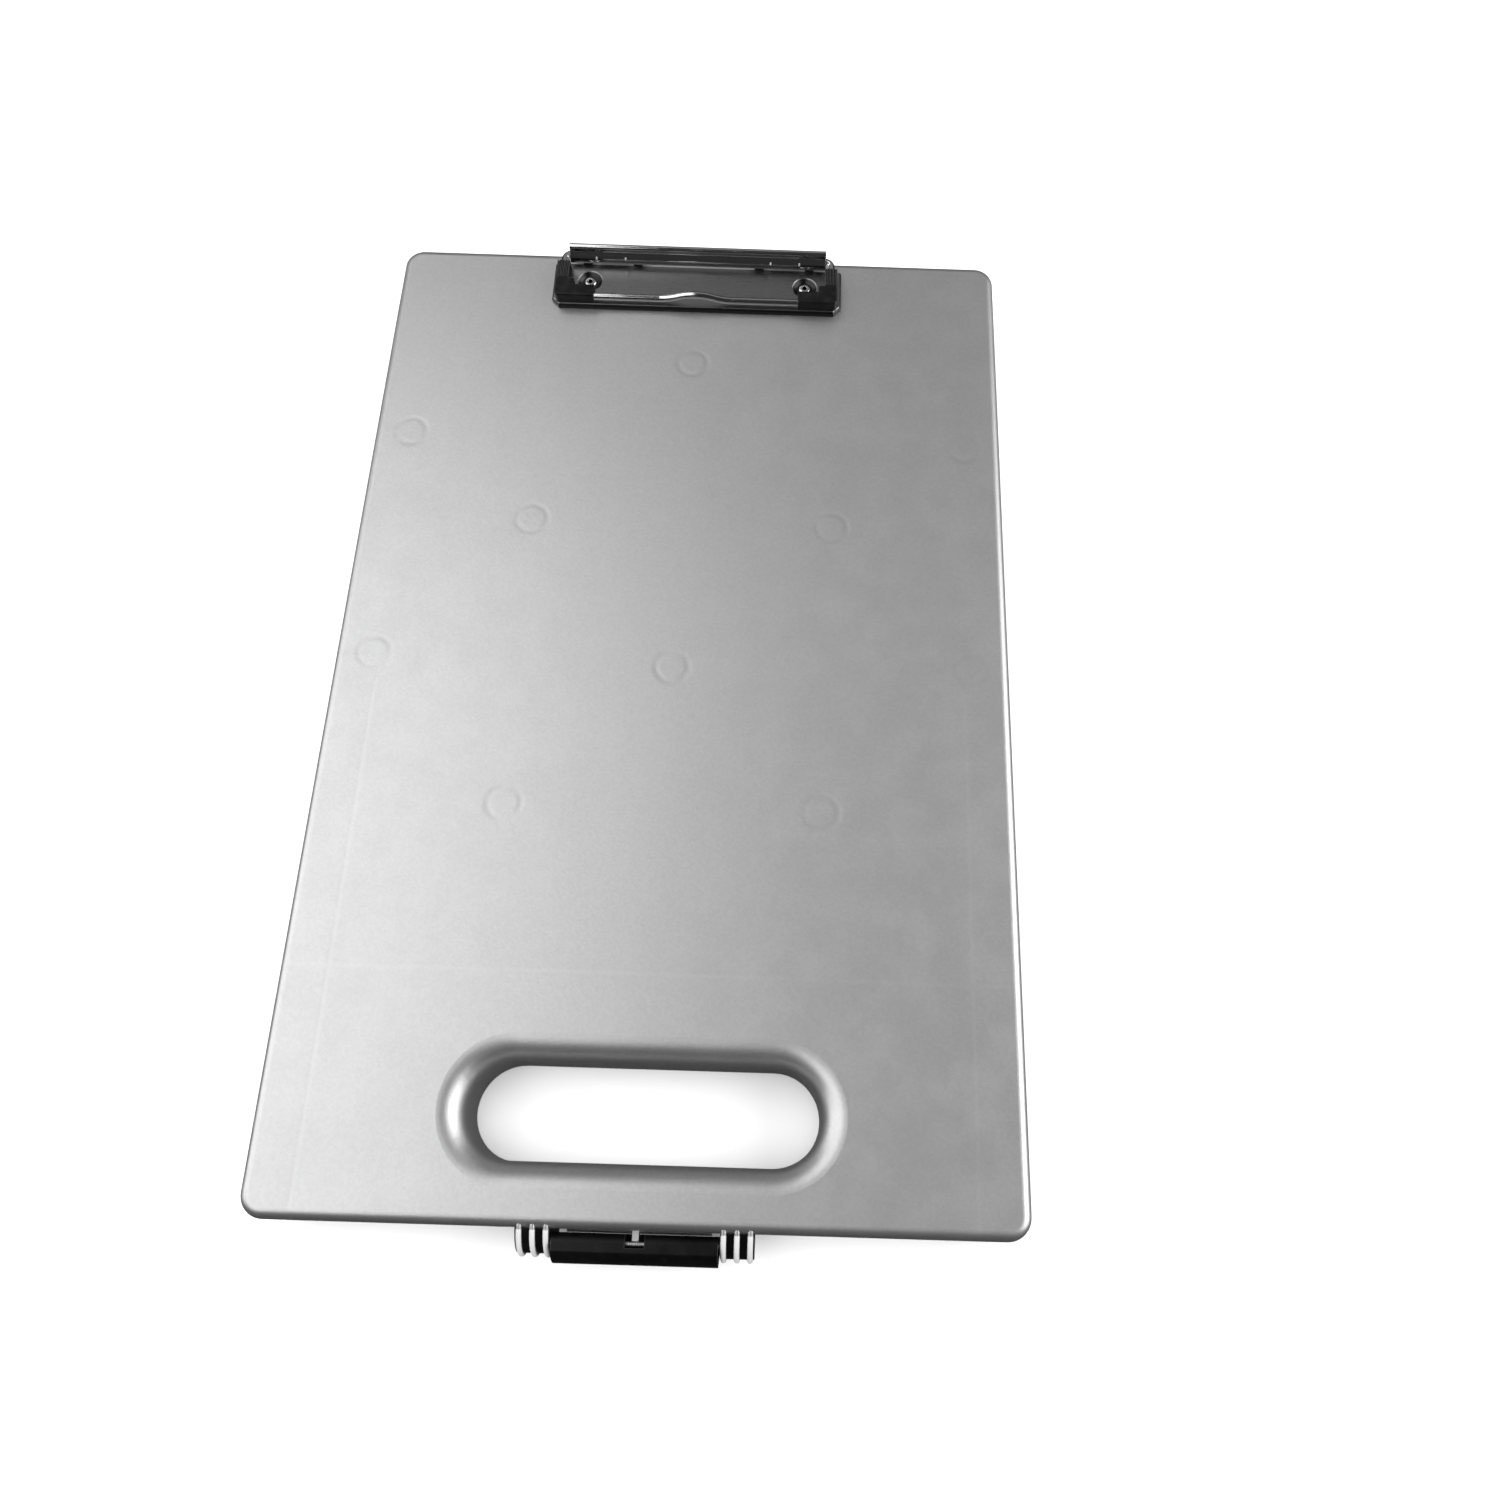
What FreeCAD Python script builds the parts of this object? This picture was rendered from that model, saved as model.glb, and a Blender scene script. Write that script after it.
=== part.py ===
"""Storage clipboard: a flat hinged case whose lid carries a low-profile paper clip.

Frame: millimetres, +Z up.  The origin is the centre of the tray's flat underside.
The case lies on its tray with the lid on top.  +Y points to the hinge and the clip,
-Y to the handle slot and the latch, and X runs across the case.
"""
import FreeCAD
import Part
import math
import os

from FreeCAD import Vector

# ---------------------------------------------------------------- driving sizes
CASE_WIDTH = 254.0
CASE_LENGTH = 392.0
TRAY_DEPTH = 15.0
LID_DEPTH = 13.0
WALL = 2.4
CORNER_RADIUS = 8.0
EDGE_ROLL = 3.5

# tongue of the tray that stands inside the lid's rim
TONGUE_HEIGHT = 2.0
TONGUE_WALL = 1.2
TONGUE_ROOT = 3.0
TONGUE_GAP = 0.35

# carrying slot through both shells
SLOT_HALF_STRAIGHT = 43.0
SLOT_RADIUS = 16.0
SLOT_TO_FRONT = 36.1
SLOT_LID_ROLL = 8.5
SLOT_TRAY_ROLL = 5.0

# wall between the paper compartment and the handle bay, and the stiffening ribs
DIVIDER_TO_REAR = 311.0
DIVIDER_WALL = 2.0
DIVIDER_GAP = 0.4
RIB_WALL = 1.6
RIB_HEIGHT = 4.0
SIDE_RIB_INSET = 17.0

# case hinge
HINGE_CENTRE_X = 86.0
HINGE_LENGTH = 44.0
HINGE_OUTER_KNUCKLE = 12.0
HINGE_KNUCKLE_RADIUS = 3.6
HINGE_PIN_RADIUS = 1.5
HINGE_WALL_GAP = 0.3
KNUCKLE_END_GAP = 0.4
RUNNING_GAP = 0.08
HINGE_WEB_HEIGHT = 3.2

# latch housing on the lid: ribs, black blocks and the flap's pin
BULGE_INSET = 3.3
RIB_BULGE_RADIUS = 12.3
RIB_INNER_RADIUS = 8.8
LATCH_RIB_WALL = 1.8
LATCH_RIB_PITCH = 4.3
LATCH_RIB_COUNT = 3
LATCH_RIB_FIRST_X = 28.3
RIB_ROOT_DEPTH = 1.5
BLOCK_BULGE_RADIUS = 11.1
BLOCK_OVERHANG = 0.5
OVERHANG_GAP = 0.35
LATCH_PIN_RADIUS = 1.0
LATCH_PIN_OUT = 4.1
LATCH_PIN_BELOW_TOP = 6.5
LATCH_PIN_BITE = 4.0

# latch flap
FLAP_END_GAP = 0.5
FLAP_BULGE_RADIUS = 13.9
FLAP_SHELL = 2.4
FLAP_BARREL_RADIUS = 3.0
FLAP_PIN_GAP = 0.1
FLAP_TOP_ROUND = 1.2
FLAP_BOTTOM_Z = 4.4
FLAP_BEAD_HEIGHT = 2.0
FLAP_BEAD_GAP = 0.3
STRIKER_OUT = 1.1
STRIKER_HEIGHT = 2.2
STRIKER_ABOVE_BEAD = 0.8
STRIKER_HALF_WIDTH = 24.0
NOTCH_HALF_WIDTH = 3.1
NOTCH_CLEARANCE = 0.1
NOTCH_DEPTH = 3.6
LUG_WALL = 2.1
LUG_BELOW_PIN = 2.2
LUG_ABOVE_PIN = 0.4
LUG_LIP = 0.9

# clip base plate, a shallow pressing riveted to the lid
PLATE_WIDTH = 122.4
PLATE_HEIGHT = 2.4
PLATE_SHEET = 1.0
PLATE_FRONT_TO_REAR = 29.8
PLATE_BACK_TO_REAR = 8.2
PLATE_CORNER_CUT = 3.0
PLATE_BEVEL = 0.8
DIMPLE_RADIUS = 5.3
DIMPLE_FLOOR_RADIUS = 3.5
RIVET_X = 45.7
RIVET_TO_REAR = 17.0
RIVET_SHANK_RADIUS = 1.6
RIVET_BORE_RADIUS = 1.0
RIVET_HEAD_RADIUS = 2.6
RIVET_HEAD_HEIGHT = 1.2
RIVET_TAIL_RADIUS = 2.5
RIVET_TAIL_HEIGHT = 0.8
WASHER_RADIUS = 4.5
WASHER_WALL = 0.8

# clip pivot and its rolled loops
CLIP_AXIS_TO_REAR = 5.0
LOOP_WALL = 1.1
LOOP_SPANS = ((24.0, 28.0), (45.6, 49.4))

# spring wire bail
WIRE_RADIUS = 1.5
BAIL_HALF_WIDTH = 56.8
BAIL_BAR_TO_REAR = 27.3
BAIL_BEND = 3.0
BAIL_PIN_END_X = 22.0
ARCH_HALF_WIDTH = 15.4
ARCH_RISE = 2.7

# rubber corner grips on the bail
GRIP_WALL = 1.1
GRIP_SOLE = 0.8
GRIP_REST_GAP = 0.1
GRIP_TOP_WALL = 1.1
SLEEVE_START_TO_REAR = 10.6
SLEEVE_END_TO_REAR = 20.0
GRIP_FRONT_WALL = 0.1
GRIP_LEG_WIDTH = 7.7
GRIP_TOE_LENGTH = 8.8
GRIP_TOE_DEPTH = 6.0
GRIP_ROUND = 0.8
SLEEVE_GROOVES = 4
GROOVE_WIDTH = 0.5
GROOVE_DEPTH = 0.5

# thumb lever, one curved sheet hooked round the bail's ends
LEVER_SHEET = 1.0
LEVER_HALF_WIDTH = 54.4
LEVER_LOOP_GAP = 0.4
LEVER_ARC_START = -8.0
LEVER_ARC_END = 48.0
LEVER_HOLLOW_RADIUS = 2.4
LEVER_LIP_RADIUS = 1.4
LEVER_LIP_LENGTH = 0.65
LEVER_EYE_SPAN = (50.2, 53.4)

# torsion springs on the bail's ends
SPRING_SPAN = (30.5, 43.5)
SPRING_WIRE_RADIUS = 0.35
SPRING_BORE_GAP = 0.3
SPRING_LEG_LENGTH = 3.2
SPRING_FOOT_ANGLE = -30.0
SPRING_HEAD_ANGLE = 60.0

# ---------------------------------------------------------------- derived places
HALF_W = CASE_WIDTH / 2
HALF_L = CASE_LENGTH / 2
SEAM_Z = TRAY_DEPTH
TOP_Z = TRAY_DEPTH + LID_DEPTH
SLOT_Y = -HALF_L + SLOT_TO_FRONT
DIVIDER_Y = HALF_L - DIVIDER_TO_REAR
HINGE_Y = HALF_L + HINGE_KNUCKLE_RADIUS + HINGE_WALL_GAP
LATCH_PIN_Y = -HALF_L - LATCH_PIN_OUT
LATCH_PIN_Z = TOP_Z - LATCH_PIN_BELOW_TOP
BULGE_Y = -HALF_L + BULGE_INSET
CLIP_AXIS_Y = HALF_L - CLIP_AXIS_TO_REAR
CLIP_AXIS_Z = TOP_Z + PLATE_HEIGHT + GRIP_REST_GAP + GRIP_SOLE + WIRE_RADIUS
LOOP_BORE = WIRE_RADIUS + RUNNING_GAP
LOOP_RADIUS = LOOP_BORE + LOOP_WALL
BLOCK_START_X = LATCH_RIB_FIRST_X - LATCH_RIB_WALL / 2 - BLOCK_OVERHANG / 2
BLOCK_END_X = (LATCH_RIB_FIRST_X + (LATCH_RIB_COUNT - 1) * LATCH_RIB_PITCH
               + LATCH_RIB_WALL / 2 + BLOCK_OVERHANG)
FLAP_HALF_WIDTH = BLOCK_START_X - FLAP_END_GAP
FAR = 500.0

X_AXIS = Vector(1, 0, 0)
Z_AXIS = Vector(0, 0, 1)


# ---------------------------------------------------------------- small tools
def block(x0, x1, y0, y1, z0, z1):
    """Box between two corners."""
    return Part.makeBox(x1 - x0, y1 - y0, z1 - z0, Vector(x0, y0, z0))


def rod(x0, x1, y, z, radius):
    """Round bar along X."""
    return Part.makeCylinder(radius, x1 - x0, Vector(x0, y, z), X_AXIS)


def post(x, y, z0, z1, radius):
    """Round bar along Z."""
    return Part.makeCylinder(radius, z1 - z0, Vector(x, y, z0), Z_AXIS)


def join(shapes):
    """Fuse a list of touching solids into one."""
    return shapes[0].fuse(shapes[1:]).removeSplitter()


def edges_at(shape, z, test=None):
    """Edges that lie wholly at height z and pass the test on their middle point."""
    found = []
    for edge in shape.Edges:
        box = edge.BoundBox
        if abs(box.ZMin - z) < 1e-4 and abs(box.ZMax - z) < 1e-4:
            middle = edge.valueAt((edge.FirstParameter + edge.LastParameter) / 2)
            if test is None or test(middle):
                found.append(edge)
    return found


def rounded_slab(half_w, half_l, radius, z0, z1):
    """Rectangular slab about the Z axis with round upright corners."""
    slab = block(-half_w, half_w, -half_l, half_l, z0, z1)
    upright = [e for e in slab.Edges if e.BoundBox.ZLength > (z1 - z0) / 2]
    return slab.makeFillet(radius, upright)


def slot_prism(radius, z0, z1):
    """Upright prism over the carrying slot's outline, offset to the given radius."""
    s = SLOT_HALF_STRAIGHT
    low = SLOT_Y - radius
    high = SLOT_Y + radius
    outline = Part.Wire([
        Part.LineSegment(Vector(-s, low, z0), Vector(s, low, z0)).toShape(),
        Part.Arc(Vector(s, low, z0), Vector(s + radius, SLOT_Y, z0), Vector(s, high, z0)).toShape(),
        Part.LineSegment(Vector(s, high, z0), Vector(-s, high, z0)).toShape(),
        Part.Arc(Vector(-s, high, z0), Vector(-s - radius, SLOT_Y, z0), Vector(-s, low, z0)).toShape(),
    ])
    return Part.Face(outline).extrude(Vector(0, 0, z1 - z0))


def in_slot(point):
    """True for a point that belongs to the carrying slot's outline."""
    reach = SLOT_RADIUS + WALL + SLOT_LID_ROLL
    return abs(point.x) < SLOT_HALF_STRAIGHT + reach and abs(point.y - SLOT_Y) < reach


def mirrored(shape):
    """The same shape on the other side of the case."""
    return shape.mirror(Vector(0, 0, 0), X_AXIS)


# ---------------------------------------------------------------- case shells
def shell_hollow(z_outside, z_seam, roll):
    """Space inside a shell: up to the seam, round the slot's tube."""
    inward = 1 if z_seam > z_outside else -1
    z_floor = z_outside + inward * WALL
    z0 = min(z_floor, z_seam)
    z1 = max(z_floor, z_seam)
    hollow = rounded_slab(HALF_W - WALL, HALF_L - WALL, CORNER_RADIUS - WALL, z0, z1)
    hollow = hollow.makeFillet(EDGE_ROLL - WALL, edges_at(hollow, z_floor))
    hollow = hollow.cut(slot_prism(SLOT_RADIUS + WALL, z0, z1))
    return hollow.makeFillet(roll - WALL, edges_at(hollow, z_floor, in_slot))


def shell_skin(z_outside, z_seam, roll):
    """Rounded shell without ribs: outer skin and slot tube round the shell's hollow."""
    z0 = min(z_outside, z_seam)
    z1 = max(z_outside, z_seam)
    skin = rounded_slab(HALF_W, HALF_L, CORNER_RADIUS, z0, z1)
    skin = skin.makeFillet(EDGE_ROLL, edges_at(skin, z_outside))
    skin = skin.cut(slot_prism(SLOT_RADIUS, z0, z1))
    skin = skin.makeFillet(roll, edges_at(skin, z_outside, in_slot))
    return skin.cut(shell_hollow(z_outside, z_seam, roll))


def handle_bay_webs(z0, z1):
    """Upright webs across the handle bay, from the front wall to the divider."""
    half = RIB_WALL / 2
    return [block(x - half, x + half, -HALF_L, DIVIDER_Y, z0, z1)
            for x in (-SLOT_HALF_STRAIGHT, 0.0, SLOT_HALF_STRAIGHT)]


def tongue():
    """Ledge inside the tray's rim whose upper half stands inside the lid."""
    inner_w = HALF_W - WALL - TONGUE_GAP - TONGUE_WALL
    inner_l = HALF_L - WALL - TONGUE_GAP - TONGUE_WALL
    inner_r = CORNER_RADIUS - WALL - TONGUE_GAP - TONGUE_WALL
    root = rounded_slab(HALF_W - WALL / 2, HALF_L - WALL / 2, CORNER_RADIUS - WALL / 2,
                        SEAM_Z - TONGUE_ROOT, SEAM_Z)
    blade = rounded_slab(HALF_W - WALL - TONGUE_GAP, HALF_L - WALL - TONGUE_GAP,
                         CORNER_RADIUS - WALL - TONGUE_GAP, SEAM_Z - TONGUE_ROOT,
                         SEAM_Z + TONGUE_HEIGHT)
    inside = rounded_slab(inner_w, inner_l, inner_r, SEAM_Z - TONGUE_ROOT,
                          SEAM_Z + TONGUE_HEIGHT)
    return root.fuse(blade).cut(inside)


def knuckle(x0, x1, z_side):
    """Hinge knuckle with a web to its own shell; z_side is +1 for the lid, -1 for the tray."""
    barrel = rod(x0, x1, HINGE_Y, SEAM_Z, HINGE_KNUCKLE_RADIUS)
    z_far = SEAM_Z + z_side * HINGE_WEB_HEIGHT
    web = block(x0, x1, HALF_L - WALL / 2, HINGE_Y, min(SEAM_Z, z_far), max(SEAM_Z, z_far))
    return barrel.fuse(web)


def hinge_spans():
    """X spans of one hinge: outer, middle and outer knuckle, for the hinge on +X."""
    start = HINGE_CENTRE_X - HINGE_LENGTH / 2
    end = HINGE_CENTRE_X + HINGE_LENGTH / 2
    middle = (start + HINGE_OUTER_KNUCKLE + KNUCKLE_END_GAP,
              end - HINGE_OUTER_KNUCKLE - KNUCKLE_END_GAP)
    return (start, start + HINGE_OUTER_KNUCKLE), middle, (end - HINGE_OUTER_KNUCKLE, end)


def bead_top_z():
    """Height of the top of the flap's snap bead."""
    return FLAP_BOTTOM_Z + FLAP_BEAD_HEIGHT


def striker():
    """Low ledge on the tray's front wall that the flap's bead snaps below."""
    z0 = bead_top_z() + STRIKER_ABOVE_BEAD
    front = -HALF_L - STRIKER_OUT
    bar = block(-STRIKER_HALF_WIDTH, STRIKER_HALF_WIDTH, front, -HALF_L + WALL / 2,
                z0, z0 + STRIKER_HEIGHT)
    lip = [e for e in bar.Edges if e.BoundBox.YMax < front + 1e-4 and e.BoundBox.XLength > 1]
    return bar.makeFillet(STRIKER_OUT / 2, lip)


def make_tray_shell():
    """Bottom shell: tray, tongue, divider, outer hinge knuckles and latch striker."""
    pieces = [shell_skin(0.0, SEAM_Z, SLOT_TRAY_ROLL), tongue(), striker()]
    divider = block(-HALF_W, HALF_W, DIVIDER_Y - DIVIDER_WALL / 2, DIVIDER_Y + DIVIDER_WALL / 2,
                    0, SEAM_Z - DIVIDER_GAP)
    inside = shell_hollow(0.0, SEAM_Z, SLOT_TRAY_ROLL)
    webs = handle_bay_webs(0, SEAM_Z - RIB_HEIGHT)
    pieces += [wall.common(inside) for wall in [divider] + webs]
    first, _, last = hinge_spans()
    for x0, x1 in (first, last):
        web = knuckle(x0, x1, -1)
        pieces += [web, mirrored(web)]
    tray = join(pieces)
    for side in (-1, 1):
        centre = side * HINGE_CENTRE_X
        half = HINGE_LENGTH / 2
        tray = tray.cut(rod(centre - half, centre + half, HINGE_Y, SEAM_Z, HINGE_PIN_RADIUS))
    return tray


def latch_rib_centres():
    """X places of the latch housing's ribs on the +X side."""
    return [LATCH_RIB_FIRST_X + i * LATCH_RIB_PITCH for i in range(LATCH_RIB_COUNT)]


def clear_of_tray(shape, gap):
    """Trim a housing piece so that it hangs in front of the tray's wall."""
    behind = block(-HALF_W, HALF_W, -HALF_L - gap, FAR, -FAR, SEAM_Z)
    return shape.cut(behind)


def latch_rib(x):
    """Curved rib with a full-round outer edge, hanging from the lid's front edge."""
    half = LATCH_RIB_WALL / 2
    disc = rod(x - half, x + half, BULGE_Y, SEAM_Z, RIB_BULGE_RADIUS - half)
    edge = Part.makeTorus(RIB_BULGE_RADIUS - half, half, Vector(x, BULGE_Y, SEAM_Z), X_AXIS)
    ring = disc.fuse(edge).cut(rod(x - half, x + half, BULGE_Y, SEAM_Z, RIB_INNER_RADIUS))
    ring = ring.cut(block(x - half, x + half, -HALF_L + RIB_ROOT_DEPTH, FAR, -FAR, FAR))
    return clear_of_tray(ring, OVERHANG_GAP)


def pin_lug():
    """Saddle in the middle of the lid's front edge that carries the latch pin."""
    half = LUG_WALL / 2
    lug = block(-half, half, LATCH_PIN_Y - LUG_LIP, -HALF_L + WALL / 2,
                LATCH_PIN_Z - LUG_BELOW_PIN, LATCH_PIN_Z + LUG_ABOVE_PIN)
    mouth = block(-half, half, LATCH_PIN_Y - LATCH_PIN_RADIUS, LATCH_PIN_Y + LATCH_PIN_RADIUS,
                  LATCH_PIN_Z, LATCH_PIN_Z + LUG_ABOVE_PIN)
    return lug.cut(rod(-half, half, LATCH_PIN_Y, LATCH_PIN_Z, LATCH_PIN_RADIUS)).cut(mouth)


def lid_ribs():
    """Ribs under the lid: the divider's upper half and the handle bay's stiffeners."""
    half = RIB_WALL / 2
    rib_base = TOP_Z - WALL - RIB_HEIGHT
    side_x = HALF_W - SIDE_RIB_INSET
    edge = HALF_W - WALL - TONGUE_GAP - TONGUE_WALL - DIVIDER_GAP
    tall = block(-edge, edge, DIVIDER_Y - half, DIVIDER_Y + half, SEAM_Z + DIVIDER_GAP, TOP_Z)
    wide = block(-HALF_W, HALF_W, DIVIDER_Y - half, DIVIDER_Y + half,
                 SEAM_Z + TONGUE_HEIGHT + DIVIDER_GAP, TOP_Z)
    ribs = [tall, wide] + handle_bay_webs(rib_base, TOP_Z)
    for x in (-side_x, side_x):
        ribs.append(block(x - half, x + half, -HALF_L, DIVIDER_Y, rib_base, TOP_Z))
    inside = shell_hollow(TOP_Z, SEAM_Z, SLOT_LID_ROLL)
    return [rib.common(inside) for rib in ribs]


def make_lid_shell():
    """Top shell: writing surface, inner ribs, middle knuckles, latch ribs and pin lug."""
    pieces = [shell_skin(TOP_Z, SEAM_Z, SLOT_LID_ROLL), pin_lug()] + lid_ribs()
    _, middle, _ = hinge_spans()
    barrel = knuckle(middle[0], middle[1], 1)
    pieces += [barrel, mirrored(barrel)]
    for x in latch_rib_centres():
        pieces += [latch_rib(x), latch_rib(-x)]
    lid = join(pieces)
    bore = HINGE_PIN_RADIUS + RUNNING_GAP
    for side in (-1, 1):
        x0, x1 = sorted((side * middle[0], side * middle[1]))
        lid = lid.cut(rod(x0, x1, HINGE_Y, SEAM_Z, bore))
        lid = lid.cut(post(side * RIVET_X, HALF_L - RIVET_TO_REAR, TOP_Z - FAR / 10, TOP_Z,
                           RIVET_SHANK_RADIUS))
    end = BLOCK_START_X + LATCH_PIN_BITE
    return lid.cut(rod(-end, end, LATCH_PIN_Y, LATCH_PIN_Z, LATCH_PIN_RADIUS))


def make_hinge_pin(side):
    """Steel pin through one hinge's three knuckles."""
    centre = side * HINGE_CENTRE_X
    half = HINGE_LENGTH / 2
    return rod(centre - half, centre + half, HINGE_Y, SEAM_Z, HINGE_PIN_RADIUS)


# ---------------------------------------------------------------- latch
def make_latch_block(side, lid):
    """Black comb-shaped block that fills the space between the latch ribs of one side."""
    x0, x1 = sorted((side * BLOCK_START_X, side * BLOCK_END_X))
    body = rod(x0, x1, BULGE_Y, SEAM_Z, BLOCK_BULGE_RADIUS)
    body = body.cut(block(x0, x1, -HALF_L + WALL / 2, FAR, -FAR, FAR))
    body = clear_of_tray(body, OVERHANG_GAP)
    end = BLOCK_START_X + LATCH_PIN_BITE
    body = body.cut(rod(-end, end, LATCH_PIN_Y, LATCH_PIN_Z, LATCH_PIN_RADIUS)).cut(lid)
    return max(body.Solids, key=lambda solid: solid.Volume)


def make_latch_pin():
    """Steel pin on which the flap swings, held in both blocks and in the middle lug."""
    end = BLOCK_START_X + LATCH_PIN_BITE
    return rod(-end, end, LATCH_PIN_Y, LATCH_PIN_Z, LATCH_PIN_RADIUS)


def make_latch_flap():
    """Bulged black flap with a barrel for the pin, a middle notch and a snap bead."""
    a, b = -FLAP_HALF_WIDTH, FLAP_HALF_WIDTH
    top = LATCH_PIN_Z + FLAP_BARREL_RADIUS
    outer = rod(a, b, BULGE_Y, SEAM_Z, FLAP_BULGE_RADIUS)
    band = block(a, b, -FAR, LATCH_PIN_Y, FLAP_BOTTOM_Z, top)
    outer = outer.common(band)
    corner = [e for e in outer.Edges if e.BoundBox.ZMin > top - 1e-4
              and e.BoundBox.XLength > FLAP_HALF_WIDTH and e.BoundBox.YMax < LATCH_PIN_Y - 1]
    outer = outer.makeFillet(FLAP_TOP_ROUND, corner)
    hollow = rod(a, b, BULGE_Y, SEAM_Z, FLAP_BULGE_RADIUS - FLAP_SHELL)
    hollow = hollow.cut(block(a, b, -FAR, FAR, LATCH_PIN_Z - FLAP_BARREL_RADIUS, FAR))
    bead_front = -HALF_L - STRIKER_OUT - FLAP_BEAD_GAP
    bead = rod(a, b, BULGE_Y, SEAM_Z, FLAP_BULGE_RADIUS)
    bead = bead.common(block(a, b, -FAR, bead_front, FLAP_BOTTOM_Z, bead_top_z()))
    barrel = rod(a, b, LATCH_PIN_Y, LATCH_PIN_Z, FLAP_BARREL_RADIUS)
    flap = join([outer.cut(hollow), bead, barrel])
    flap = flap.cut(rod(a, b, LATCH_PIN_Y, LATCH_PIN_Z, LATCH_PIN_RADIUS + FLAP_PIN_GAP))
    notch = block(-NOTCH_HALF_WIDTH, NOTCH_HALF_WIDTH,
                  LATCH_PIN_Y - LATCH_PIN_RADIUS - NOTCH_CLEARANCE, FAR,
                  LATCH_PIN_Z - NOTCH_DEPTH, FAR)
    return flap.cut(notch)


# ---------------------------------------------------------------- clip, fixed part
def plate_slab(inset, z0, z1):
    """Base plate's plan with cut front corners, moved inwards by inset, as a slab."""
    half = PLATE_WIDTH / 2 - inset
    front = HALF_L - PLATE_FRONT_TO_REAR + inset
    back = HALF_L - PLATE_BACK_TO_REAR
    cut = PLATE_CORNER_CUT
    outline = Part.makePolygon([
        Vector(-half, back, z0), Vector(-half, front + cut, z0), Vector(-half + cut, front, z0),
        Vector(half - cut, front, z0), Vector(half, front + cut, z0), Vector(half, back, z0),
        Vector(-half, back, z0),
    ])
    return Part.Face(outline).extrude(Vector(0, 0, z1 - z0))


def rivet_dimple(x, offset, z_base, z_mouth):
    """Conical cup round a rivet, grown outwards by offset."""
    y = HALF_L - RIVET_TO_REAR
    return Part.makeCone(DIMPLE_FLOOR_RADIUS + offset, DIMPLE_RADIUS + offset,
                         z_mouth - z_base, Vector(x, y, z_base), Z_AXIS)


def make_base_plate():
    """Pressed steel plate: bevelled rim, two rivet dimples and four rolled loops."""
    top = TOP_Z + PLATE_HEIGHT
    under = top - PLATE_SHEET
    back = HALF_L - PLATE_BACK_TO_REAR
    plate = plate_slab(0.0, TOP_Z, top)
    plate = plate.makeChamfer(PLATE_BEVEL, edges_at(plate, top, lambda p: p.y < back - 1e-3))
    plate = plate.cut(plate_slab(PLATE_SHEET, TOP_Z, under))
    pieces = [plate]
    for x in (-RIVET_X, RIVET_X):
        pieces.append(rivet_dimple(x, PLATE_SHEET, TOP_Z, under))
    for x0, x1 in LOOP_SPANS:
        for a, b in ((x0, x1), (-x1, -x0)):
            pieces.append(rod(a, b, CLIP_AXIS_Y, CLIP_AXIS_Z, LOOP_RADIUS))
            pieces.append(block(a, b, back - PLATE_SHEET, CLIP_AXIS_Y, under, top))
    plate = join(pieces)
    floor = TOP_Z + PLATE_SHEET
    for x in (-RIVET_X, RIVET_X):
        plate = plate.cut(rivet_dimple(x, 0.0, floor, top))
        plate = plate.cut(post(x, HALF_L - RIVET_TO_REAR, TOP_Z, top, RIVET_SHANK_RADIUS))
    bore = LOOP_SPANS[-1][1]
    return plate.cut(rod(-bore, bore, CLIP_AXIS_Y, CLIP_AXIS_Z, LOOP_BORE))


def make_rivet(side):
    """Tubular rivet with a domed head in the dimple and a rolled tail under the lid."""
    x = side * RIVET_X
    y = HALF_L - RIVET_TO_REAR
    seat = TOP_Z + PLATE_SHEET
    washer = TOP_Z - WALL - WASHER_WALL
    head = post(x, y, seat, seat + RIVET_HEAD_HEIGHT, RIVET_HEAD_RADIUS)
    crown = edges_at(head, seat + RIVET_HEAD_HEIGHT)
    head = head.makeFillet(RIVET_HEAD_HEIGHT * 0.8, crown)
    shank = post(x, y, washer, seat, RIVET_SHANK_RADIUS)
    tail = post(x, y, washer - RIVET_TAIL_HEIGHT, washer, RIVET_TAIL_RADIUS)
    tail = tail.makeFillet(RIVET_TAIL_HEIGHT / 2, edges_at(tail, washer - RIVET_TAIL_HEIGHT))
    bore = post(x, y, washer - RIVET_TAIL_HEIGHT, seat + RIVET_HEAD_HEIGHT, RIVET_BORE_RADIUS)
    return join([head, shank, tail]).cut(bore)


def make_rivet_washer(side):
    """Back washer between the lid and a rivet's rolled tail."""
    x = side * RIVET_X
    y = HALF_L - RIVET_TO_REAR
    top = TOP_Z - WALL
    disc = post(x, y, top - WASHER_WALL, top, WASHER_RADIUS)
    return disc.cut(post(x, y, top - WASHER_WALL, top, RIVET_SHANK_RADIUS))


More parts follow.
